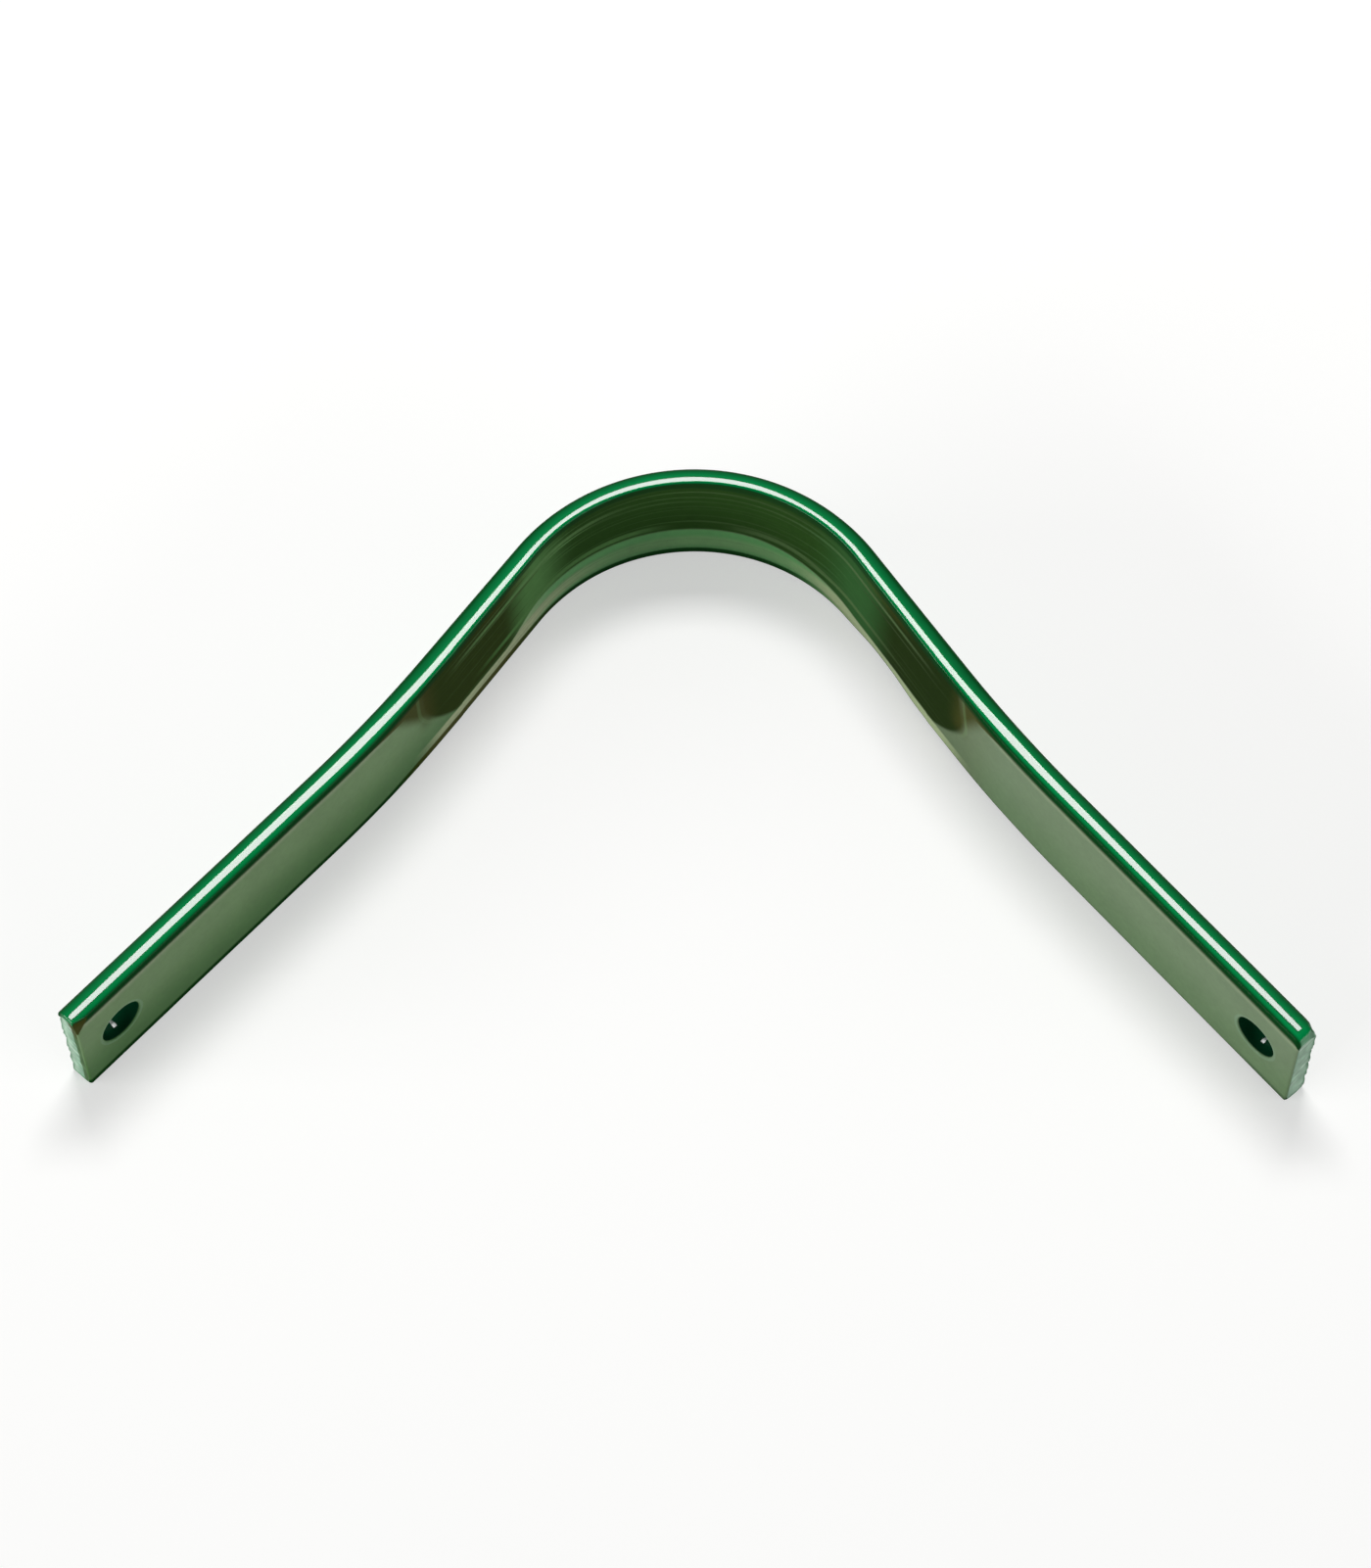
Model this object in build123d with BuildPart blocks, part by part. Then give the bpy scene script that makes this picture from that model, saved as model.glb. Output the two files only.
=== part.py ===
"""Gullet plate: the bent head bar that sets the width of a saddle's tree.

One flat bar is bent to a flared arch. Its long edges are rounded along the whole bar, the
head is pressed thinner than the legs, and each tip has one plain screw hole.

The bar lies on one of its long edges. X runs from tip to tip, +Y points from the tips to
the head, and +Z goes across the width of the bar. The origin is at the middle of the box
around the plate, on the surface that it lies on. All lengths are in millimetres, and the
angles are the slopes of the arch, in degrees from X.
"""

from build123d import *
import os
from math import cos, radians, sin

# The bar
bar_width = 29.5
leg_thickness = 5.6
head_thickness = 4.6
long_edge_radius = 1.85

# The arch, along its outer face from the crown down to a tip
head_radius = 45.5
shoulder_angle = 54.6
shoulder_length = 34.0
flare_radius = 315.0
leg_angle = 48.4
leg_length = 71.0

# The shoulders thin towards the head, so their inner faces are a little steeper
shoulder_taper = 1.1

# The tips
tip_corner_radius = 2.0
hole_radius = 5.0
hole_rim_radius = 0.5
hole_to_tip = 10.6


def downhill(angle):
    """The way down the right half of the arch, where it slopes by this angle."""
    return Vector(cos(radians(angle)), -sin(radians(angle)))


def outward(angle):
    """The way out of the right half of the arch, where it slopes by this angle."""
    return Vector(sin(radians(angle)), cos(radians(angle)))


# The outer face is a chain of tangent pieces, measured from the centre of the head's arc
outer_crown = Vector(0, head_radius)
outer_head_end = outward(shoulder_angle) * head_radius
outer_shoulder_end = outer_head_end + downhill(shoulder_angle) * shoulder_length
flare_centre = outer_shoulder_end + outward(shoulder_angle) * flare_radius
outer_flare_end = flare_centre - outward(leg_angle) * flare_radius
outer_tip = outer_flare_end + downhill(leg_angle) * leg_length

# Along the leg and the flare, the inner face is the leg's thickness away
inner_flare_radius = flare_radius + leg_thickness
inner_tip = outer_tip - outward(leg_angle) * leg_thickness
inner_flare_end = flare_centre - outward(leg_angle) * inner_flare_radius
inner_shoulder_angle = shoulder_angle + shoulder_taper
inner_shoulder_end = flare_centre - outward(inner_shoulder_angle) * inner_flare_radius

# Inside the head, an arc touches the inner shoulder and leaves the head's thickness at the
# crown, so its centre lies a little off the centre of the outer arc
inner_crown = outer_crown - Vector(0, head_thickness)
shoulder_distance = inner_shoulder_end.dot(outward(inner_shoulder_angle))
inner_head_radius = (inner_crown.Y * cos(radians(inner_shoulder_angle)) - shoulder_distance) / (
    cos(radians(inner_shoulder_angle)) - 1
)
inner_head_centre = inner_crown - Vector(0, inner_head_radius)
inner_head_end = inner_head_centre + outward(inner_shoulder_angle) * inner_head_radius

# The box around the plate reaches from the inner corners of the tips to the crown
arch_height = outer_crown.Y - inner_tip.Y
head_centre = Vector(0, arch_height / 2 - outer_crown.Y)


def tip_plane(side):
    """The outer face of a leg, from the middle of its tip: x goes up the leg, z points out."""
    middle = head_centre + Vector(side * outer_tip.X, outer_tip.Y, bar_width / 2)
    up_the_leg = Vector(-side * downhill(leg_angle).X, -downhill(leg_angle).Y)
    out_of_the_leg = Vector(side * outward(leg_angle).X, outward(leg_angle).Y)
    return Plane(origin=middle, x_dir=up_the_leg, z_dir=out_of_the_leg)


with BuildPart() as gullet_plate:
    # The arch, seen along the width of the bar
    with BuildSketch(Plane(origin=head_centre)):
        with BuildLine():
            RadiusArc(outer_crown, outer_head_end, head_radius)
            Line(outer_head_end, outer_shoulder_end)
            RadiusArc(outer_shoulder_end, outer_flare_end, -flare_radius)
            Line(outer_flare_end, outer_tip)
            Line(outer_tip, inner_tip)
            Line(inner_tip, inner_flare_end)
            RadiusArc(inner_flare_end, inner_shoulder_end, inner_flare_radius)
            Line(inner_shoulder_end, inner_head_end)
            RadiusArc(inner_head_end, inner_crown, -inner_head_radius)
            mirror(about=Plane.YZ)
        make_face()
    extrude(amount=bar_width)

    # Round the long edges, which are all the edges of the two narrow sides but those that
    # run across the thickness at the tips
    narrow_edges = gullet_plate.faces().filter_by(Axis.Z).edges()
    tip_edges = [
        edge
        for side in (-1, 1)
        for edge in narrow_edges.filter_by(Axis(tip_plane(side).origin, tip_plane(side).z_dir))
    ]
    fillet([edge for edge in narrow_edges if edge not in tip_edges], long_edge_radius)

    for side in (-1, 1):
        # Round the corners of the tip
        with BuildSketch(tip_plane(side)):
            with Locations((-tip_corner_radius, 0)):
                Rectangle(4 * tip_corner_radius, bar_width + 2 * tip_corner_radius)
            with Locations((2 * tip_corner_radius, 0)):
                RectangleRounded(
                    4 * tip_corner_radius, bar_width, tip_corner_radius, mode=Mode.SUBTRACT
                )
        extrude(amount=leg_thickness, both=True, mode=Mode.SUBTRACT)

        # Drill the screw hole and round its two rims
        with Locations(tip_plane(side)):
            with Locations((hole_to_tip, 0)):
                Hole(hole_radius, depth=leg_thickness)
        rims = gullet_plate.edges(Select.LAST).filter_by(GeomType.CIRCLE)
        fillet(rims, hole_rim_radius)

gullet_plate.part.label = "gullet_plate"
os.makedirs("parts", exist_ok=True)
export_step(gullet_plate.part, "parts/gullet_plate.step")
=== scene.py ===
"""Dresses the gullet plate: its enamelled bar with sheared tips, the studio and the camera.

The bar is swept along the arch as one mesh. Every section is a rounded rectangle, the long
edges roll over unevenly where the bar is bent, and rings of faces lead into the screw holes.
All lengths are in metres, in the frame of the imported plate: X runs from tip to tip, +Y from
the tips to the head, and +Z across the width of the bar, which lies on one of its edges.
"""

from math import cos, pi, radians, sin, sqrt

import bmesh
import bpy
from mathutils import Matrix, Vector, noise


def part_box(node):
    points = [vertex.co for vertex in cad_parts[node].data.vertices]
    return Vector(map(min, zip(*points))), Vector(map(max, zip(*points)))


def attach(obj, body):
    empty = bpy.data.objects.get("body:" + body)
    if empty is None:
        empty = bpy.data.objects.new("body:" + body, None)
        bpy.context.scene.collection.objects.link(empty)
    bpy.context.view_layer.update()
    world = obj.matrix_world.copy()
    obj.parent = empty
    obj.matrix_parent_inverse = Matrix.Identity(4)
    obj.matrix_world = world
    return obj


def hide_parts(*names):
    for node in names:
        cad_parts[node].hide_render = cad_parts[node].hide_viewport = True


bl_info = {
    "name": "Gullet Plate",
    "version": (1, 0, 0),
    "blender": (4, 5, 0),
    "location": "3D View > Sidebar > Gullet Plate",
    "description": "Builds the enamelled gullet plate and its studio around the packed frame",
    "category": "Object",
}

PLATE_NODE = "gullet_plate"
BODY = "root"

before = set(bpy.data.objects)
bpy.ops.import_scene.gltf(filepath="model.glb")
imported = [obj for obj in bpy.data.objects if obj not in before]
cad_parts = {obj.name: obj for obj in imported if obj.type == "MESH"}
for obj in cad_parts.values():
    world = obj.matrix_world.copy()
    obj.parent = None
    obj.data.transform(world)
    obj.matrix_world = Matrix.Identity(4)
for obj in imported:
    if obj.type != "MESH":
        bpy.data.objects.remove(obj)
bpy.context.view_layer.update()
box_low, box_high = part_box(PLATE_NODE)
half_width = (box_high.z - box_low.z) / 2
mm = 0.001

# The marks that the vertices carry for the materials: the distance from the crown, below 0 on
# the left half, the place across the width, 0 on the outer face, 1 on a narrow side and 2 on
# the inner face, the depth below the outer face, and 1 inside the bores
MARKS = ("along_bar", "across_bar", "around_bar", "depth_in_bar", "inside_bore")

# How finely the bar is divided
LEG_STEP = 1.25 * mm
BEND_STEP = 0.8 * mm
HOLE_SEGMENTS = 16
BORDER_SEGMENTS = 4
CORNER_SEGMENTS = 12
NARROW_SEGMENTS = 4
TIP_SEGMENTS = 2
TIP_CORNER_SEGMENTS = 8
SOFT_EDGE_SEGMENTS = 4
RIM_SEGMENTS = 5
END_RINGS = 4

# Columns of points on a wide face: over the block around the hole, over a border on each
# side of it, and along both edges
FACE_COLUMNS = HOLE_SEGMENTS + 2 * BORDER_SEGMENTS + 3

# The square of faces that leads into a screw hole, in hole radii from its axis, and the
# rings between that square and the mouth of the hole, in radii of the mouth
HOLE_BLOCK = 1.6
MOUTH_RINGS = (1.3, 1.1)

# How far the facet ground off an upper corner of a tip reaches from the end and from the edge
GROUND_LENGTH = 4.2 * mm
GROUND_HEIGHT = 4.5 * mm

# The steep chamfer on the right tip: how far it reaches along, across and through the bar
CHAMFER_LENGTH = 1.6 * mm
CHAMFER_HEIGHT = 4.0 * mm
CHAMFER_DEPTH = 4.6 * mm

# Between which distances from the crown the shape of the section changes
LEAVING_HEAD = (6 * mm, 34 * mm)
ROLLING_OVER = (8 * mm, 50 * mm)
REACHING_LEG = (70 * mm, 100 * mm)
IRONING_STARTS = (40 * mm, 52 * mm)
IRONING_EASES = (56 * mm, 68 * mm)
IRONING_ENDS = (98 * mm, 112 * mm)

# The same from the end of the shoulder, and back from the tip
LEAVING_BEND = (-4 * mm, 22 * mm)
NEARING_HOLE = (30 * mm, 20 * mm)
NEARING_TIP = (45 * mm, 15 * mm)
AT_TIP = (12 * mm, 3 * mm)

# The forging waves: their length, their seed and their strength
OUTER_EDGE_WAVE = (13 * mm, 1, 1.5)
INNER_EDGE_WAVE = (17 * mm, 5, 1.5)
OUTER_FACE_WAVE = (26 * mm, 9, 1.0)
INNER_FACE_WAVE = (21 * mm, 13, 1.0)

# How much fuller the outer edges are along the legs, and how much of that the right tip lacks
FULLER_LEG = 0.15 * mm
SPARER_TIP = 0.11 * mm

# How much sharper the inner edges are over the head, as a share of the thickness, and how much
# sharper the lower outer edges are at the tips, as a share of their own radius
SHARPER_HEAD = 0.062
SHARPER_TIP = 0.6

# The lower half of the inner face falls away less than the upper one. Ironing lets its edge
# fall further and widens it, and fades to a share of itself before it ends.
LOW_CROWN = 0.35
IRONED_CROWN = 0.9
IRONED_RADIUS = 1.4 * mm
IRONING_LEFT = 0.3

# By how much the shoulders of the right (1) and left (-1) half roll over more than the head,
# and how much of the roll the inner edge gives up
ROLL_GROWTH = {1: 1.9, -1: 1.4}
ROLL_TAKEN = {1: 0.19, -1: 0.31}

# How far the rings of faces in an end face close in on its middle
END_SHRINK = 0.8

# The marks of the shear in an end face: how far they lean, how wide and how deep they run
SHEAR_LEAN = 0.3
SHEAR_WIDTH = 2.4 * mm
SHEAR_LENGTH = 6 * mm

# The notches at the outer edge of an end: how wide they are, how far they reach along the
# bar, and between which depths they fade
NOTCH_WIDTH = 1.7 * mm
NOTCH_LENGTH = 1.8 * mm
NOTCH_DEPTHS = (0.2 * mm, 2.2 * mm)

# The middle of the view, across the span and from the tips to the head
VIEW_MIDDLE = (-1.38 * mm, -1.98 * mm)


# ---------------------------------------------------------------- settings


def a_number(name, description, default, **kind):
    """A setting that holds a number, with its limits or its unit or subtype."""
    return bpy.props.FloatProperty(name=name, description=description, default=default, **kind)


def a_share(name, description, default, most):
    """A setting that holds a share of the bar's thickness."""
    return a_number(name, description + ", as a share of the thickness", default, min=0.1, max=most)


def a_length(name, description, millimetres):
    """A setting that holds a length, whose default is given in millimetres."""
    return a_number(name, description, millimetres * mm, unit="LENGTH")


def an_angle(name, description, degrees):
    """A setting that holds an angle, whose default is given in degrees."""
    return a_number(name, description, radians(degrees), subtype="ANGLE")


def a_colour(name, description, default):
    """A setting that holds a colour."""
    return bpy.props.FloatVectorProperty(
        name=name, description=description, default=default, min=0, max=1, subtype="COLOR"
    )


class PlateSettings(bpy.types.PropertyGroup):
    """Sizes and finish of the bar, with the colours of its painted light and shade."""

    leg_thickness: a_length("Leg thickness", "Thickness of the bar along the legs", 5.6)
    head_thickness: a_length("Head thickness", "Thickness of the bar at the crown of the head", 4.6)
    head_radius: a_length("Head radius", "Radius of the outer face over the head", 45.5)
    shoulder_angle: an_angle(
        "Shoulder angle", "Slope of the straight shoulders, measured from the span", 54.6
    )
    shoulder_taper: an_angle(
        "Shoulder taper", "How much steeper the inner face of a shoulder is than its outer face", 1.1
    )
    shoulder_length: a_length(
        "Shoulder length", "Length of the straight shoulders on the outer face", 34
    )
    flare_radius: a_length(
        "Flare radius", "Radius of the slight outward bend between shoulder and leg", 315
    )
    leg_angle: an_angle("Leg angle", "Slope of the legs, measured from the span", 48.4)
    outer_roundness: a_share(
        "Outer roundness", "How far the outer long edges are rounded into the narrow sides", 0.49, 0.6
    )
    outer_drop: a_share(
        "Outer drop", "How far the outer long edges are rounded into the outer face", 0.33, 0.6
    )
    lower_roundness: a_share("Lower roundness", "Radius of the lower outer long edge", 0.22, 0.4)
    inner_roundness: a_share("Inner roundness", "Radius of the inner long edges", 0.30, 0.4)
    edge_roll: a_length(
        "Edge roll", "How far the bend rolls the flat of the narrow sides towards the inner face", 0.36
    )
    inner_crown: a_length(
        "Inner crown", "How far the inner face falls away towards its edges in the bend", 0.45
    )
    left_corner_radius: a_length(
        "Left corner radius", "Radius of the upper corner of the left tip, seen along its screw", 0.6
    )
    right_corner_radius: a_length(
        "Right corner radius", "Radius of the upper corner of the right tip, seen along its screw", 2
    )
    lower_corner_radius: a_length(
        "Lower corner radius", "Radius of the lower corners of both tips, seen along their screws", 0.7
    )
    end_softness: a_length("End softness", "Radius of the worn edges around the sheared end faces", 0.45)
    hole_radius: a_length("Hole radius", "Radius of the screw holes", 5)
    hole_rim_radius: a_length("Hole rim radius", "Radius of the rounded rims of the screw holes", 0.5)
    hole_to_tip: a_length(
        "Hole to tip", "Distance from the axis of a screw hole to the end of its leg", 10.6
    )
    corner_grind: a_length("Corner grind", "How much is ground off one upper corner of each tip", 1.4)
    shear_depth: a_length("Shear depth", "Depth of the marks that the shear left in the end faces", 0.28)
    torn_depth: a_length(
        "Torn depth", "Depth of the notches that the shear tore out of the outer edges of the ends", 0.5
    )
    forging_waves: a_length(
        "Forging waves", "Unevenness of the faces and of the rounding of the long edges", 0.05
    )
    enamel_colour: a_colour("Enamel", "Colour of the green enamel", (0.0, 0.150, 0.036))
    # Painted highlight: a brighter green halo painted beside the flats of the narrow sides, where the
    # highlight falls
    bright_colour: a_colour(
        "Painted halo", "Colour of the enamel where it lies thick beside the flats", (0.0, 0.240, 0.060)
    )
    olive_colour: a_colour(
        "Olive enamel", "Colour of the thinner enamel on the inner face", (0.172, 0.305, 0.122)
    )
    # Painted light and shade: the right leg's inner face has its own olive, which differs from the
    # left's to match how each leg is lit
    right_olive_colour: a_colour(
        "Right olive enamel",
        "Colour of the thinner enamel on the inner face of the right leg",
        (0.173, 0.262, 0.138),
    )
    # Painted shade: darkens the olive enamel towards the lower edge of the inner face
    low_colour: a_colour(
        "Low shade",
        "Colour that the olive enamel turns to towards the lower edge",
        (0.052, 0.180, 0.030),
    )
    # Painted highlight: a pale line painted just inside the upper inner edge of the legs
    rim_colour: a_colour(
        "Edge highlight",
        "Colour of the enamel just inside the upper inner edge and around the holes",
        (0.300, 0.380, 0.220),
    )
    # Painted shade: the dark colour painted along the sharp edges and the lower edges
    arris_colour: a_colour(
        "Edge shade", "Colour of the thin enamel over the sharp edges", (0.003, 0.045, 0.007)
    )
    # Painted reflection: the dark reflection painted inside the head
    pooled_colour: a_colour(
        "Dark reflection",
        "Colour of the enamel where it lies thick inside the head",
        (0.025, 0.074, 0.012),
    )
    # Painted reflection: the brown dark reflection painted inside the shoulders
    browned_colour: a_colour(
        "Brown reflection",
        "Colour of the enamel where it lies thick inside the shoulders",
        (0.030, 0.052, 0.007),
    )
    # Painted reflection: the lighter band painted between the head's and the left shoulder's painted
    # dark reflections, also used for the painted streaks in them
    left_meeting_colour: a_colour(
        "Left meeting",
        "Colour of the thinner enamel between the head's pool and the left shoulder's",
        (0.108, 0.265, 0.082),
    )
    # Painted reflection: the lighter band painted between the head's and the right shoulder's painted
    # dark reflections
    right_meeting_colour: a_colour(
        "Right meeting",
        "Colour of the thinner enamel between the head's pool and the right shoulder's",
        (0.040, 0.150, 0.040),
    )
    # Painted shade: darkens the painted dark reflection inside the right shoulder, and the rolled-over
    # strip of the left end
    dark_pool_colour: a_colour(
        "Deep shade",
        "Colour that darkens the thick enamel inside the right shoulder",
        (0.002, 0.018, 0.002),
    )
    # Painted reflection: the pale reflection painted along the lower edge inside the head
    drained_colour: a_colour(
        "Pale reflection",
        "Colour of the lower edge that the enamel drained from inside the head",
        (0.105, 0.370, 0.105),
    )
    # Painted reflection: the paler reflection painted along the lower edge inside the shoulders
    pale_colour: a_colour(
        "Paler reflection",
        "Colour of the lower edge that the enamel drained from inside the shoulders",
        (0.450, 0.530, 0.280),
    )
    # Painted shade: the dark brown painted along the sharp inner edges of the bend, above each end of
    # the painted dark reflection, on the left tip's ground facet and along parts of the lower edge
    scorched_colour: a_colour(
        "Brown shade",
        "Colour of the enamel along the sharp inner edges of the bend",
        (0.062, 0.065, 0.010),
    )
    # Painted shade: the dark colour painted inside the screw holes, and under the highlight on the flats
    # of the narrow sides
    bore_colour: a_colour("Bore shade", "Colour of the enamel inside the screw holes", (0.002, 0.040, 0.015))
    sheared_colour: a_colour(
        "Sheared ends", "Colour of the thin enamel over the rough sheared ends", (0.300, 0.520, 0.360)
    )
    bare_colour: a_colour(
        "Bare streaks",
        "Colour of the streaks where the steel shows through at the ends",
        (0.620, 0.770, 0.640),
    )


class StudioSettings(bpy.types.PropertyGroup):
    """Floor, lights and camera."""

    floor_colour: a_colour("Floor", "Colour of the floor", (0.52, 0.52, 0.51))
    floor_glow: a_number(
        "Floor glow", "How much the floor is lifted towards white where it is seen", 0.52, min=0, max=1
    )
    floor_radius: a_length("Floor radius", "Radius of the round floor", 8000)
    sky_strength: a_number("Sky strength", "Strength of the even light from all around", 0.08, min=0)
    key_strength: a_number(
        "Overhead strength", "Irradiance from the overhead softbox, square to it", 2.2, min=0
    )
    left_strength: a_number(
        "Left strength", "Irradiance from the low light on the left, square to it", 2.2, min=0
    )
    right_strength: a_number(
        "Right strength", "Irradiance from the low light on the right, square to it", 1.0, min=0
    )
    camera_elevation: an_angle("Camera elevation", "How steeply the camera looks down", 63.32)
    camera_turn: an_angle("Camera turn", "How far the camera looks away from +Y, towards +X", -1.64)
    camera_roll: an_angle("Camera roll", "How far the camera is rolled about its line of sight", -0.70)
    camera_distance: a_length(
        "Camera distance", "Distance from the camera to the middle of the view", 1022
    )
    camera_lens: a_number(
        "Camera lens", "Focal length in millimetres, for a film 36 millimetres high", 113.9, min=1
    )


# ---------------------------------------------------------------- the arch


def flat(angle, length=1.0):
    """A vector across the arch, at an angle from the crown's outward normal towards +X."""
    return Vector((sin(angle), cos(angle))) * length


def downhill(angle):
    """The way down the right half of the arch, where it slopes by this angle."""
    return Vector((cos(angle), -sin(angle)))


class Arch:
    """The right half of the arch in its own plane, with the head's centre as the origin."""

    def __init__(self, size):
        self.size = size
        self.head_length = size.head_radius * size.shoulder_angle
        self.head_end = flat(size.shoulder_angle, size.head_radius)
        shoulder_way = downhill(size.shoulder_angle)
        self.shoulder_end = self.head_end + shoulder_way * size.shoulder_length
        self.flare_centre = self.shoulder_end + flat(size.shoulder_angle, size.flare_radius)
        self.flare_end = self.flare_centre - flat(size.leg_angle, size.flare_radius)
        self.flare_length = size.flare_radius * (size.shoulder_angle - size.leg_angle)
        reach = (box_high.x - box_low.x) / 2
        self.leg_length = (reach - self.flare_end.x) / cos(size.leg_angle)
        self.length = (
            self.head_length + size.shoulder_length + self.flare_length + self.leg_length
        )
        # The inner face: a flare around the same centre, a steeper shoulder, and the head
        self.inner_flare_radius = size.flare_radius + size.leg_thickness
        self.inner_shoulder_angle = size.shoulder_angle + size.shoulder_taper
        self.inner_shoulder_end = self.flare_centre - flat(
            self.inner_shoulder_angle, self.inner_flare_radius
        )
        shoulder_distance = self.inner_shoulder_end.dot(flat(self.inner_shoulder_angle))
        slope = cos(self.inner_shoulder_angle)
        crown = size.head_radius - size.head_thickness
        self.inner_head_radius = (crown * slope - shoulder_distance) / (slope - 1)
        self.inner_head_centre = Vector((0, crown - self.inner_head_radius))

    def outer(self, distance):
        """Point of the outer face and slope angle there, at a distance from the crown."""
        size = self.size
        if distance <= self.head_length:
            angle = distance / size.head_radius
            return flat(angle, size.head_radius), angle
        distance -= self.head_length
        if distance <= size.shoulder_length:
            return self.head_end + downhill(size.shoulder_angle) * distance, size.shoulder_angle
        distance -= size.shoulder_length
        if distance <= self.flare_length:
            angle = size.shoulder_angle - distance / size.flare_radius
            return self.flare_centre - flat(angle, size.flare_radius), angle
        distance -= self.flare_length
        return self.flare_end + downhill(size.leg_angle) * distance, size.leg_angle

    def thickness(self, point, angle):
        """How thick the bar is at a point of its outer face, square to that face."""
        inward = -flat(angle)
        normal = flat(self.inner_shoulder_angle)
        reach = (self.inner_shoulder_end - point).dot(normal) / inward.dot(normal)
        landing = point + inward * reach
        way = downhill(self.inner_shoulder_angle)
        head_end = self.inner_head_centre + normal * self.inner_head_radius
        if (landing - head_end).dot(way) < 0:
            offset = point - self.inner_head_centre
            along = offset.dot(inward)
            square = along**2 - offset.length_squared + self.inner_head_radius**2
            return -along - sqrt(square)
        if (landing - self.inner_shoulder_end).dot(way) > 0:
            return self.size.leg_thickness
        return reach


def smooth(value, start, end):
    """0 before start and 1 after end, with an even rise between them."""
    share = min(max((value - start) / (end - start), 0.0), 1.0)
    return share * share * (3 - 2 * share)


# ---------------------------------------------------------------- the bar


def spread(start, end, count):
    """Evenly spaced values from start to end, without the first one."""
    return [start + (end - start) * step / count for step in range(1, count + 1)]


def corner_radius(size, side):
    """Radius of the upper corner of the right (1) or left (-1) tip."""
    return size.right_corner_radius if side > 0 else size.left_corner_radius


def stations(arch, side):
    """Distances from the crown at which half of the bar has a section.

    Also returns the numbers of the first and the last section of the block around the hole.
    """
    size = arch.size
    bend_end = arch.head_length + size.shoulder_length + arch.flare_length
    block = HOLE_BLOCK * size.hole_radius
    block_start = arch.length - size.hole_to_tip - block
    block_end = arch.length - size.hole_to_tip + block
    corner = arch.length - corner_radius(size, side)
    arc = corner_radius(size, side) - size.end_softness
    values = spread(0, bend_end, round(bend_end / BEND_STEP))
    values += spread(bend_end, block_start, round((block_start - bend_end) / LEG_STEP))
    first_hole = len(values)
    values += spread(block_start, block_end, HOLE_SEGMENTS)
    last_hole = len(values)
    values += spread(block_end, corner, TIP_SEGMENTS)
    values += [corner + arc * sin(turn) for turn in spread(0, pi / 2, TIP_CORNER_SEGMENTS)]
    soft_turns = spread(0, pi / 2, SOFT_EDGE_SEGMENTS)
    values += [arch.length - size.end_softness * (1 - sin(turn)) for turn in soft_turns]
    return values, first_hole, last_hole


def face_columns(size, flat_half):
    """Places across a wide face for its columns of points, from one edge to the other."""
    block = HOLE_BLOCK * size.hole_radius
    guard = 0.2 * mm
    border = spread(block, flat_half - guard, BORDER_SEGMENTS) + [flat_half]
    middle = [-block] + spread(-block, block, HOLE_SEGMENTS)
    return [-v for v in reversed(border)] + middle + border


def wander(place, seed, level=0.5):
    """Smooth seeded noise between -1 and 1 along a line, or on a plane with its level."""
    return noise.noise(Vector((place, seed, level)))


def corner_cut(radius, to_end):
    """How much a round corner takes off a side, at a distance from the end of that side."""
    rise = max(radius - to_end, 0.0)
    return radius - sqrt(max(radius**2 - rise**2, 0.0))


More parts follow.
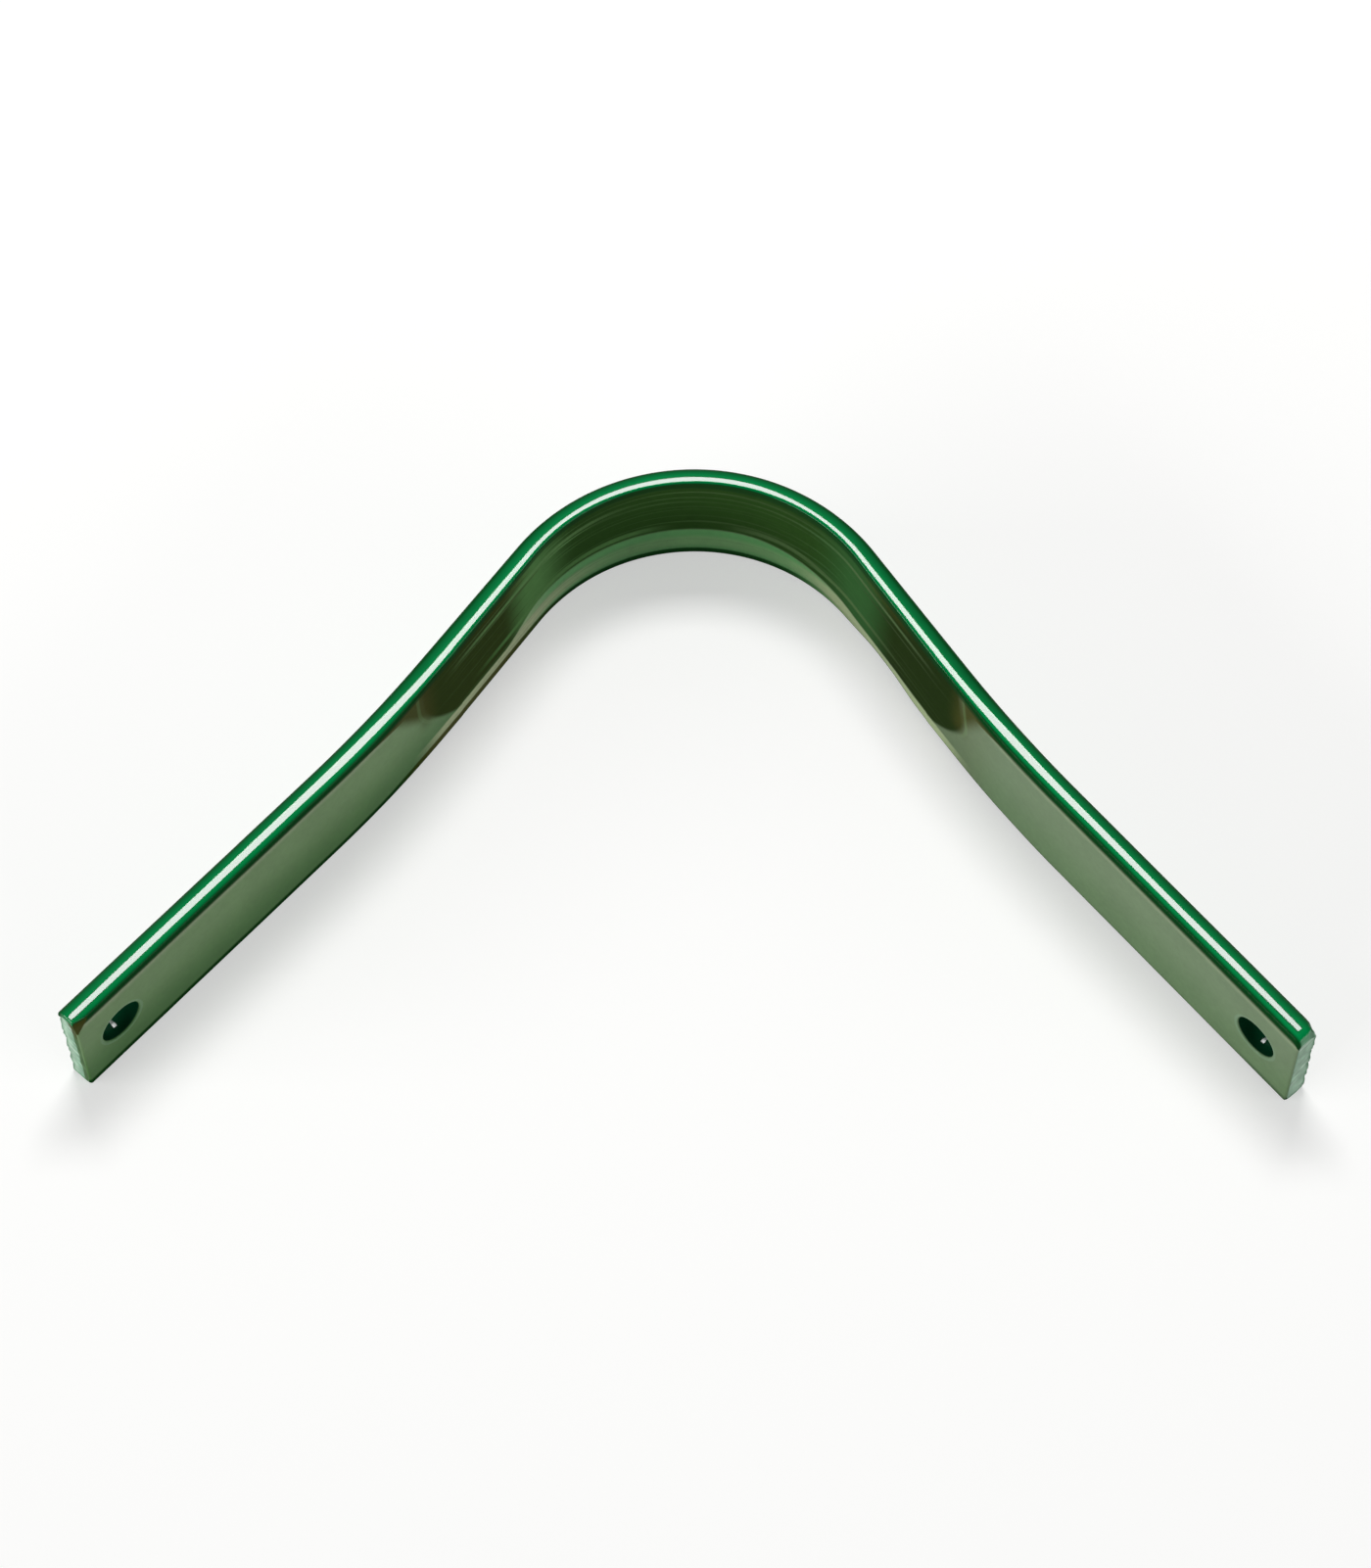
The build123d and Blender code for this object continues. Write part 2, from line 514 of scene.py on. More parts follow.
def half_section(arch, side, distance):
    """The section of half of the bar at a distance from the crown, as a ring of points.

    Each point is (depth, v, around): the depth below the outer face, the place across the
    width from its middle, and 0 on the outer face, 1 on a narrow side and 2 on the inner face.
    The ring runs up the outer face, over the upper narrow side, down the inner face and back
    over the lower narrow side.
    """
    size = arch.size
    thickness = arch.thickness(*arch.outer(distance))
    to_tip = arch.length - distance

    # The corners of the tip and the soft edge of the end face
    inset = corner_cut(size.end_softness, to_tip)
    upper_half = half_width - inset - corner_cut(corner_radius(size, side), to_tip)
    lower_half = half_width - inset - corner_cut(size.lower_corner_radius, to_tip)

    # Forging leaves waves everywhere but around the hole
    uneven = size.forging_waves * (1 - smooth(to_tip, *NEARING_HOLE))
    waves = (OUTER_EDGE_WAVE, INNER_EDGE_WAVE, OUTER_FACE_WAVE, INNER_FACE_WAVE)
    outer_wave, inner_wave, low_wave, high_wave = (
        strength * uneven * wander(side * distance / length, seed)
        for length, seed, strength in waves
    )
    face_low = inset + (uneven + low_wave) / 2
    face_high = thickness - inset - (uneven + high_wave) / 2

    # Bending rolls the narrow sides over and crowns the inner face
    past_shoulder = distance - arch.head_length - size.shoulder_length
    bend = 1 - smooth(past_shoulder, *LEAVING_BEND)
    near_tip = smooth(to_tip, *NEARING_TIP)
    roll = bend * size.edge_roll * (1 + ROLL_GROWTH[side] * smooth(distance, *ROLLING_OVER))
    outer_drop = thickness * size.outer_drop - inset
    outer_reach = thickness * size.outer_roundness - inset + roll + outer_wave
    outer_reach += FULLER_LEG * smooth(distance, *REACHING_LEG) * (1 - near_tip)
    if side > 0:
        outer_reach -= SPARER_TIP * near_tip
    fall = bend * size.inner_crown
    sharper = SHARPER_HEAD * (1 - smooth(distance, *LEAVING_HEAD))
    inner_radius = thickness * (size.inner_roundness - sharper) - inset - fall
    inner_radius += inner_wave - roll * ROLL_TAKEN[side]

    # It also irons the lower inner edge of the right shoulder
    ironed = smooth(distance, *IRONING_STARTS)
    ironed -= (1 - IRONING_LEFT) * smooth(distance, *IRONING_EASES)
    ironed -= IRONING_LEFT * smooth(distance, *IRONING_ENDS)
    if side < 0:
        ironed = 0.0
    low_fall = fall * (LOW_CROWN + IRONED_CROWN * ironed)
    sharper = SHARPER_TIP * smooth(to_tip, *AT_TIP)
    low_reach = thickness * size.lower_roundness * (1 - sharper) - inset
    low_radius = thickness * size.inner_roundness - inset - low_fall + IRONED_RADIUS * ironed

    faces = (face_low, face_high)
    upper = edge_turn(faces, upper_half, outer_reach, outer_drop, inner_radius, fall)
    lower = edge_turn(faces, lower_half, low_reach, low_reach, low_radius, low_fall)
    flat_half = min(upper_half, lower_half) - max(outer_drop, inner_radius, low_radius)
    columns = face_columns(size, flat_half)
    ring = []
    for v in columns:
        flat_edge = upper_half - outer_drop if v > 0 else lower_half - low_reach
        ring.append((face_low, v * flat_edge / flat_half, 0.0))
    ring += upper
    for v in reversed(columns):
        flat_edge = upper_half - inner_radius if v > 0 else lower_half - low_radius
        sunk = fall if v > 0 else low_fall
        depth = face_high - sunk * (v / flat_half) ** 2
        ring.append((depth, v * flat_edge / flat_half, 2.0))
    ring += [(depth, -v, around) for depth, v, around in reversed(lower)]
    return [
        (grind(size, side, to_tip, thickness, depth, v), v, around) for depth, v, around in ring
    ]


def edge_turn(faces, half_height, outer_reach, outer_drop, inner_radius, fall):
    """The part of a section that leads over a narrow side, from the outer to the inner face."""
    face_low, face_high = faces
    flat_low = face_low + outer_reach
    flat_high = face_high - inner_radius - fall
    turns = spread(0, pi / 2, CORNER_SEGMENTS)[:-1]
    points = []
    for turn in turns:
        v = half_height - outer_drop * (1 - sin(turn))
        points.append((flat_low - outer_reach * cos(turn), v, turn / (pi / 2)))
    for depth in [flat_low] + spread(flat_low, flat_high, NARROW_SEGMENTS):
        points.append((depth, half_height, 1.0))
    for turn in turns:
        v = half_height - inner_radius * (1 - cos(turn))
        points.append((flat_high + inner_radius * sin(turn), v, 1 + turn / (pi / 2)))
    return points


def grind(size, side, to_tip, thickness, depth, v):
    """The depth of a point once one upper corner of each tip is ground off."""
    below_edge = half_width - v
    cut = size.corner_grind * (1 - to_tip / GROUND_LENGTH - below_edge / GROUND_HEIGHT)
    if side < 0:
        return min(depth, thickness - cut)
    chamfer = CHAMFER_DEPTH * (1 - to_tip / CHAMFER_LENGTH - below_edge / CHAMFER_HEIGHT)
    return max(depth, 1.5 * cut, min(chamfer, thickness - 0.8 * mm))


def torn(size, side, to_tip, depth, v):
    """How far the shear tore a point at the outer edge of an end back along the bar."""
    notch = max(wander(v / NOTCH_WIDTH, 3 * side) + 0.15, 0.0)
    near_end = 1 - smooth(to_tip, 0.0, NOTCH_LENGTH)
    return size.torn_depth * notch * near_end * (1 - smooth(depth, *NOTCH_DEPTHS))


class BarMesh:
    """Collects the vertices and faces of the bar, with the marks that its materials read."""

    def __init__(self, size):
        self.size = size
        self.arch = Arch(size)
        self.bm = bmesh.new()
        self.layers = [self.bm.verts.layers.float.new(name) for name in MARKS]
        self.origin = Vector((0, box_high.y - size.head_radius, box_low.z + half_width))

    def add_point(self, side, distance, depth, v, around, bore=0.0):
        """Adds one vertex below the outer face, on the right (1) or left (-1) half."""
        point, angle = self.arch.outer(distance)
        point = point - flat(angle) * depth
        vertex = self.bm.verts.new(Vector((side * point.x, point.y, v)) + self.origin)
        for layer, value in zip(self.layers, (side * distance, v, around, depth, bore)):
            vertex[layer] = value
        return vertex

    def add_face(self, vertices, material=0):
        """Adds one smooth face; all faces are turned outwards at the end."""
        face = self.bm.faces.new(vertices)
        face.smooth = True
        face.material_index = material

    def bridge(self, first, second, material=0):
        """Joins two loops with the same number of points by one ring of faces."""
        for k in range(len(first)):
            n = (k + 1) % len(first)
            self.add_face([first[k], first[n], second[n], second[k]], material)

    def sweep(self):
        """Sweeps both halves of the bar from the crown to the tips."""
        crown = half_section(self.arch, 1, 0.0)
        crown_ring = [self.add_point(1, 0.0, *place) for place in crown]
        inner_end = last_inner(crown)
        low, high = BORDER_SEGMENTS + 1, BORDER_SEGMENTS + 1 + HOLE_SEGMENTS
        for side in (1, -1):
            distances, first_hole, last_hole = stations(self.arch, side)
            rings = [crown_ring]
            for distance in distances:
                to_tip = self.arch.length - distance
                ring = []
                for depth, v, around in half_section(self.arch, side, distance):
                    tear = torn(self.size, side, to_tip, depth, v)
                    ring.append(self.add_point(side, distance - tear, depth, v, around))
                rings.append(ring)
            for row, (near, far) in enumerate(zip(rings, rings[1:])):
                beside_hole = first_hole <= row < last_hole
                for k in range(len(near)):
                    if beside_hole and (low <= k < high or low < inner_end - k <= high):
                        continue
                    n = (k + 1) % len(near)
                    self.add_face([near[k], far[k], far[n], near[n]])
            block = rings[first_hole : last_hole + 1]
            outer_block = [ring[low : high + 1] for ring in block]
            inner_block = [[ring[inner_end - k] for k in range(low, high + 1)] for ring in block]
            self.drill(side, outer_block, inner_block)
            self.close_end(side, rings[-1], half_section(self.arch, side, self.arch.length))

    def drill(self, side, outer_block, inner_block):
        """Leads rings of faces from the blocks in both wide faces into the screw hole."""
        size = self.size
        axis = self.arch.length - size.hole_to_tip
        rim = size.hole_rim_radius
        mouth = size.hole_radius + rim
        rings = [(share * mouth, 0, 0) for share in MOUTH_RINGS]
        rings += [(mouth + 0.1 * mm, 0, 0), (mouth, 0, 0)]
        for turn in spread(0, pi / 2, RIM_SEGMENTS):
            rings.append((mouth - rim * sin(turn), rim * (1 - cos(turn)), turn / (pi / 2)))
        walls = []
        faces = ((outer_block, 0, 1, 0.0), (inner_block, size.leg_thickness, -1, 2.0))
        for block, face, inward, around in faces:
            loop = outline(block)
            turns = [2 * pi * k / len(loop) + 1.25 * pi for k in range(len(loop))]
            for radius, inset, bore in rings:
                depth = face + inward * inset
                ring = []
                for turn in turns:
                    distance, v = axis + radius * cos(turn), radius * sin(turn)
                    ring.append(self.add_point(side, distance, depth, v, around, bore))
                self.bridge(loop, ring)
                loop = ring
            walls.append(loop)
        self.bridge(*walls)

    def close_end(self, side, loop, section):
        """Closes the sheared end of a leg with rings of faces and uneven marks."""
        size = self.size
        middle = size.leg_thickness / 2
        reach = max(v for depth, v, around in section) - middle
        for step in range(1, END_RINGS + 1):
            share = END_SHRINK * step / END_RINGS
            ring = []
            for depth, v, around in section:
                to_v = min(max(v, -reach), reach)
                depth += (middle - depth) * share
                v += (to_v - v) * share
                row = (v + SHEAR_LEAN * depth) / SHEAR_WIDTH
                cut = size.shear_depth * (1 + wander(9 * side, row, depth / SHEAR_LENGTH)) / 2
                cut += torn(size, side, 0.0, depth, v) * (1 - share)
                ring.append(self.add_point(side, self.arch.length - cut, depth, v, around))
            self.bridge(loop, ring, 1)
            loop = ring
        inner_end = last_inner(loop)
        for k in range(FACE_COLUMNS - 1):
            pair = [loop[inner_end - k], loop[inner_end - k - 1]]
            self.add_face([loop[k + 1], loop[k]] + pair, 1)
        self.add_face(loop[FACE_COLUMNS - 1 : inner_end - FACE_COLUMNS + 2], 1)
        self.add_face(loop[inner_end:] + loop[:1], 1)

    def finish(self, name):
        """Returns the bar as an object, with its faces turned outwards."""
        bmesh.ops.recalc_face_normals(self.bm, faces=self.bm.faces)
        mesh = bpy.data.meshes.new(name)
        self.bm.to_mesh(mesh)
        self.bm.free()
        bar = bpy.data.objects.new(name, mesh)
        bpy.context.scene.collection.objects.link(bar)
        return bar


def last_inner(ring):
    """The number of the last point on the inner face in a ring of points."""
    return len(ring) // 2 + FACE_COLUMNS - 1


def outline(block):
    """The points around a square block of rows, starting at its first row's first column."""
    last = len(block) - 1
    width = len(block[0]) - 1
    loop = [block[row][0] for row in range(0, last)]
    loop += [block[last][column] for column in range(0, width)]
    loop += [block[row][width] for row in range(last, 0, -1)]
    loop += [block[0][column] for column in range(width, 0, -1)]
    return loop


# ---------------------------------------------------------------- materials

# The kinds of sockets of a node group
NUMBER = "NodeSocketFloat"
COLOUR = "NodeSocketColor"

# The sockets of a mix node that hold its two colours and the mixed one
MIX_FIRST, MIX_SECOND, MIXED = 6, 7, 2


def is_socket(value):
    """Whether a value is a socket to link, and not a plain number or colour."""
    return isinstance(value, bpy.types.NodeSocket)


def add_node(tree, kind, inputs=None, **options):
    """Adds a node, sets its options, and fills its inputs with values or links."""
    node = tree.nodes.new(kind)
    for name, value in options.items():
        setattr(node, name, value)
    for key, value in (inputs or {}).items():
        if is_socket(value):
            tree.links.new(value, node.inputs[key])
        else:
            node.inputs[key].default_value = value
    return node


def mark(tree, name):
    """Reads one of the marks that the bar's vertices carry."""
    return add_node(tree, "ShaderNodeAttribute", attribute_name=name).outputs["Fac"]


def calc(operation, *values):
    """The result of a math node, in the tree of the first socket among its values."""
    tree = next(value.id_data for value in values if is_socket(value))
    node = add_node(tree, "ShaderNodeMath", dict(enumerate(values)), operation=operation)
    return node.outputs["Value"]


def times(*values):
    """The product of several masks or numbers."""
    result = values[0]
    for value in values[1:]:
        result = calc("MULTIPLY", result, value)
    return result


def gap(first, second):
    """How far two values are apart."""
    return calc("ABSOLUTE", calc("SUBTRACT", first, second))


def fade(value, start, end):
    """0 where the value is at start and 1 where it is at end, with an even rise between."""
    inputs = {"Value": value, "From Min": start, "From Max": end}
    node = add_node(value.id_data, "ShaderNodeMapRange", inputs, interpolation_type="SMOOTHSTEP")
    return node.outputs["Result"]


def apart(value, middle, width):
    """1 where the value is at the middle, and 0 where it is more than the width away."""
    return fade(gap(value, middle), width, 0.3 * width)


def lean(mask, value, target):
    """The value where the mask is 0, and the target where it is 1."""
    inputs = {"Value": mask, "To Min": value, "To Max": target}
    return add_node(mask.id_data, "ShaderNodeMapRange", inputs).outputs["Result"]


def tint(share, first, second):
    """The first colour where share is 0, and the second where it is 1."""
    first, second = (each if is_socket(each) else (*each, 1) for each in (first, second))
    inputs = {"Factor": share, MIX_FIRST: first, MIX_SECOND: second}
    return add_node(share.id_data, "ShaderNodeMix", inputs, data_type="RGBA").outputs[MIXED]


def coats(colour, *layers):
    """A colour under several layers, each with its mask, its share and its own colour."""
    for mask, share, layer in layers:
        colour = tint(times(mask, share), colour, layer)
    return colour


def new_group(name, inputs, output):
    """An empty node group with named inputs, and the sockets that give their values."""
    group = bpy.data.node_groups.new(name, "ShaderNodeTree")
    for label, default in inputs.items():
        kind = COLOUR if isinstance(default, tuple) else NUMBER
        socket = group.interface.new_socket(label, in_out="INPUT", socket_type=kind)
        socket.default_value = default
    label, kind = output
    group.interface.new_socket(label, in_out="OUTPUT", socket_type=kind)
    return group, group.nodes.new("NodeGroupInput").outputs


def close_group(group, result):
    """Puts the result of a node group out."""
    leave = group.nodes.new("NodeGroupOutput")
    group.links.new(result, leave.inputs[0])
    return group


def place_group(tree, maker, **inputs):
    """Places the node group of a maker, built once, and returns what it makes of the inputs."""
    group = bpy.data.node_groups.get(maker.__name__) or maker()
    return add_node(tree, "ShaderNodeGroup", inputs, node_tree=group).outputs[0]


def surface_noise(group, size, detail):
    """Noise in the object's own space, with features of this size."""
    place = add_node(group, "ShaderNodeTexCoord").outputs["Object"]
    inputs = {"Vector": place, "Scale": calc("DIVIDE", 1.0, size), "Detail": detail}
    return add_node(group, "ShaderNodeTexNoise", inputs).outputs["Fac"]


def tone_drift():
    """A colour that drifts a little lighter and darker over the surface."""
    group, given = new_group(
        "tone_drift",
        {"Colour": (0.5, 0.5, 0.5, 1), "Amount": 0.1, "Size": 0.02},
        ("Colour", COLOUR),
    )
    swing = times(calc("SUBTRACT", surface_noise(group, given["Size"], 3.0), 0.5), 4.0)
    value = calc("MULTIPLY_ADD", swing, given["Amount"], 1.0)
    inputs = {"Color": given["Colour"], "Value": value}
    return close_group(group, add_node(group, "ShaderNodeHueSaturation", inputs).outputs["Color"])


def enamel_peel():
    """The fine unevenness of sprayed enamel, as a height."""
    group, given = new_group("enamel_peel", {"Size": 0.002, "Depth": 0.00001}, ("Height", NUMBER))
    return close_group(group, times(surface_noise(group, given["Size"], 2.0), given["Depth"]))


def drawn_marks():
    """Long thin marks side by side, from 0 to 1, that run along one way of the surface."""
    group, given = new_group(
        "drawn_marks",
        {"Along": 0.0, "Across": 0.0, "Length": 0.05, "Spacing": 0.002, "Sharpness": 0.2},
        ("Marks", NUMBER),
    )
    run = calc("DIVIDE", given["Along"], given["Length"])
    row = calc("DIVIDE", given["Across"], given["Spacing"])
    place = add_node(group, "ShaderNodeCombineXYZ", {"X": run, "Y": row}).outputs["Vector"]
    inputs = {"Vector": place, "Scale": 1.0, "Detail": 2.0}
    rows = add_node(group, "ShaderNodeTexNoise", inputs).outputs["Fac"]
    faintest = calc("MULTIPLY_ADD", given["Sharpness"], 0.5, 0.42)
    return close_group(group, fade(rows, faintest, 0.70))


def new_material(name):
    """An empty material and its node tree."""
    material = bpy.data.materials.new(name)
    material.use_nodes = True
    material.node_tree.nodes.clear()
    return material, material.node_tree


def close_material(tree, height, inputs):
    """Ends a material in a principled shader whose bumps have this height."""
    bump = add_node(tree, "ShaderNodeBump", {"Height": height, "Distance": 1.0})
    inputs = {"Specular IOR Level": 0.0, "Normal": bump.outputs["Normal"], **inputs}
    shader = add_node(tree, "ShaderNodeBsdfPrincipled", inputs)
    add_node(tree, "ShaderNodeOutputMaterial", {"Surface": shader.outputs["BSDF"]})


class BarPlace:
    """What the enamel knows of a point of the bar, from the marks on the vertices."""

    def __init__(self, tree, size):
        self.size = size
        read = [mark(tree, name) for name in MARKS]
        self.signed_along, self.across, self.around, self.depth, self.bore = read
        self.along = calc("ABSOLUTE", self.signed_along)
        self.right = fade(self.signed_along, -12 * mm, 12 * mm)
        self.to_tip = calc("SUBTRACT", Arch(size).length, self.along)
        self.in_bend = fade(self.along, 86 * mm, 66 * mm)
        self.inner = fade(calc("MULTIPLY_ADD", self.in_bend, -0.08, self.around), 1.80, 1.915)


def edge_masks(bar):
    """Where shade is painted over the sharp edges, and a highlight halo beside the flats of the narrow
    sides.
    """
    around, right = bar.around, bar.right
    past_side = calc("SUBTRACT", around, lean(right, 0.09, 0.0))
    start = calc("SUBTRACT", past_side, lean(bar.in_bend, -0.10, 0.14))
    inner_edge_shade = times(fade(start, 1.36, 1.58), fade(around, 1.999, 1.93))
    on_face = fade(bar.across, lean(right, 12.5 * mm, 12.1 * mm), 13.1 * mm)
    inner_edge_shade = calc("MAXIMUM", inner_edge_shade, times(on_face, bar.inner, 0.8))
    outer_edge_shade = times(fade(around, 0.02, 0.14), fade(around, 0.68, 0.38), 0.95)
    painted_light = times(fade(around, 0.62, 0.96), fade(past_side, 1.42, 1.12))
    return calc("MAXIMUM", outer_edge_shade, inner_edge_shade), painted_light


def pool_masks(bar):
    """Where a dark reflection is painted inside the bend, where a pale reflection is painted along its
    lower edge, and a painted lighter line just past its end.
    """
    along, across, right = bar.along, bar.across, bar.right

    # The painted dark reflection ends in a slanted line on the left flare and a round one on the right
    below = calc("SUBTRACT", lean(right, 8 * mm, 3.8 * mm), across)
    above = calc("MAXIMUM", times(below, -1.0), 0.0)
    below = calc("MAXIMUM", below, 0.0)
    bow = lean(right, 40.0, 52.0)
    slant = lean(right, 0.0, 0.22)
    reach = calc("MULTIPLY_ADD", calc("POWER", below, 2.0), bow, along)
    reach = calc("MULTIPLY_ADD", above, slant, reach)
    past_end = calc("SUBTRACT", reach, lean(right, 82.8 * mm, 82.9 * mm))
    in_dark_reflection = fade(past_end, 1.1 * mm, -0.9 * mm)
    reflection_edge_line = times(apart(past_end, 1.3 * mm, 0.7 * mm), fade(across, -4 * mm, 2 * mm))

    # Its lower edge is highest in the head and lowest along the shoulders
    left_edge = lean(fade(along, 44 * mm, 56 * mm), -3.7 * mm, -7.9 * mm)
    right_edge = lean(fade(along, 8 * mm, 54 * mm), -3.7 * mm, -9.7 * mm)
    above_edge = calc("SUBTRACT", across, lean(right, left_edge, right_edge))
    painted_dark = times(bar.inner, in_dark_reflection, fade(above_edge, -0.5 * mm, 0.4 * mm))
    pale_reflection = times(fade(along, 88 * mm, 75 * mm), fade(above_edge, 0.3 * mm, -0.8 * mm))
    return painted_dark, times(bar.inner, pale_reflection), times(bar.inner, reflection_edge_line)


def ground_masks(bar):
    """The facets that are ground off one upper corner of the left and of the right tip."""
    size, to_tip, depth = bar.size, bar.to_tip, bar.depth
    below_edge = calc("SUBTRACT", half_width, bar.across)
    gone = calc("MULTIPLY_ADD", to_tip, -1 / GROUND_LENGTH, 1.0)
    gone = calc("MULTIPLY_ADD", below_edge, -1 / GROUND_HEIGHT, gone)
    above_cut = calc("SUBTRACT", size.leg_thickness, times(gone, size.corner_grind))
    left = times(
        fade(gone, 0.0, 0.08),
        fade(calc("SUBTRACT", above_cut, depth), 0.35 * mm, 0.1 * mm),
        fade(bar.around, 1.45, 1.7),
        fade(bar.right, 0.6, 0.4),
    )
    chamfer = calc("MULTIPLY_ADD", to_tip, -1 / CHAMFER_LENGTH, 1.0)
    chamfer = calc("MULTIPLY_ADD", below_edge, -1 / CHAMFER_HEIGHT, chamfer)
    chamfer_gap = calc("MULTIPLY_ADD", chamfer, -CHAMFER_DEPTH, depth)
    chamfered = times(fade(chamfer, 0.0, 0.08), fade(chamfer_gap, 0.40 * mm, 0.15 * mm))
    brushed = times(
        fade(to_tip, 0.75 * mm, 0.45 * mm),
        fade(depth, 4.9 * mm, 4.3 * mm),
        fade(bar.across, 9 * mm, 11 * mm),
    )
    return left, times(calc("MAXIMUM", chamfered, brushed), bar.right)


def thinning(bar, marks):
    """How much the marks of the rolls and two long painted streaks of lighter reflection break up the
    painted dark reflection.
    """
    along, across, right = bar.along, bar.across, bar.right
    run = times(
        apart(across, 9.4 * mm, 0.8 * mm),
        fade(along, lean(right, 12 * mm, 30 * mm), lean(right, 38 * mm, 48 * mm)),
        fade(along, 76 * mm, 60 * mm),
        lean(right, 0.85, 0.50),
    )
    left_place = lean(fade(along, 36 * mm, 56 * mm), -2.2 * mm, -3.9 * mm)
    right_place = lean(fade(along, 18 * mm, 38 * mm), -2.1 * mm, -4.5 * mm)
    low_run = times(
        apart(across, lean(right, left_place, right_place), 1.3 * mm),
        fade(along, 4 * mm, 18 * mm),
        fade(bar.signed_along, 66 * mm, 40 * mm),
        fade(along, 68 * mm, 54 * mm),
        lean(right, 0.85, 0.62),
    )
    runs = calc("ADD", run, low_run)
    return calc("MINIMUM", calc("MULTIPLY_ADD", marks, lean(right, 0.36, 0.27), runs), 0.9)


def scorched_mask(bar):
    """Where a dark brown shade is painted, in a wedge above each end of the painted dark reflection."""
    high = calc("MAXIMUM", calc("SUBTRACT", bar.across, 3 * mm), 0.0)
    top = calc("MAXIMUM", calc("SUBTRACT", bar.across, 11.5 * mm), 0.0)
    slant = times(high, lean(bar.right, -0.80, -0.52))
    slant = calc("MULTIPLY_ADD", top, -5.0, slant)
    wedge = fade(calc("ADD", bar.along, slant), 85.6 * mm, 80.8 * mm)
    band = fade(bar.along, 77 * mm, 84 * mm)
    return times(bar.inner, wedge, band, fade(bar.across, -3 * mm, 3 * mm))


def foot_mask(bar):
    """Where shade is painted along the lower edge of the inner face, except on the right."""
    foot_edge = lean(fade(bar.along, 36 * mm, 52 * mm), -11.5 * mm, -10.6 * mm)
    foot_edge = lean(fade(bar.along, 84 * mm, 98 * mm), foot_edge, -11.3 * mm)
    below_edge = fade(calc("SUBTRACT", bar.across, foot_edge), 0.0, -0.9 * mm)
    return times(bar.inner, below_edge, fade(bar.signed_along, 40 * mm, 20 * mm))


def pool_tone(bar, light_band):
    """The colour of the painted dark reflection: brown in the shoulders and darker in the right one,
    greener in the painted lighter band where two of them meet.
    """
    size, right = bar.size, bar.right
    in_shoulder = fade(bar.along, 30 * mm, 58 * mm)
    light_band_tone = tint(right, size.left_meeting_colour, size.right_meeting_colour)
    return coats(
        tint(in_shoulder, size.pooled_colour, size.browned_colour),
        (times(in_shoulder, right), 0.5, size.dark_pool_colour),
        (light_band, lean(right, 0.85, 0.7), light_band_tone),
    )


def drained_tone(bar, marks):
    """The colour of the painted pale reflection along the lower edge: paler on its crest and along the
    shoulders.
    """
    size, right, along = bar.size, bar.right, bar.along
    crest = lean(fade(bar.signed_along, 16 * mm, 44 * mm), -8.9 * mm, -10.8 * mm)
    crest = fade(gap(bar.across, crest), 3.0 * mm, 1.0 * mm)
    in_shoulder = fade(along, lean(right, 36 * mm, 22 * mm), 60 * mm)
    paler = lean(in_shoulder, times(crest, 0.2), 1.0)
    paler = calc("MULTIPLY_ADD", times(crest, fade(along, 20 * mm, 40 * mm)), 0.5, paler)
    paler = calc("MINIMUM", paler, lean(right, 1.0, 0.85))
    tone = tint(paler, size.drained_colour, size.pale_colour)
    return tint(times(marks, 0.25), tone, size.pooled_colour)


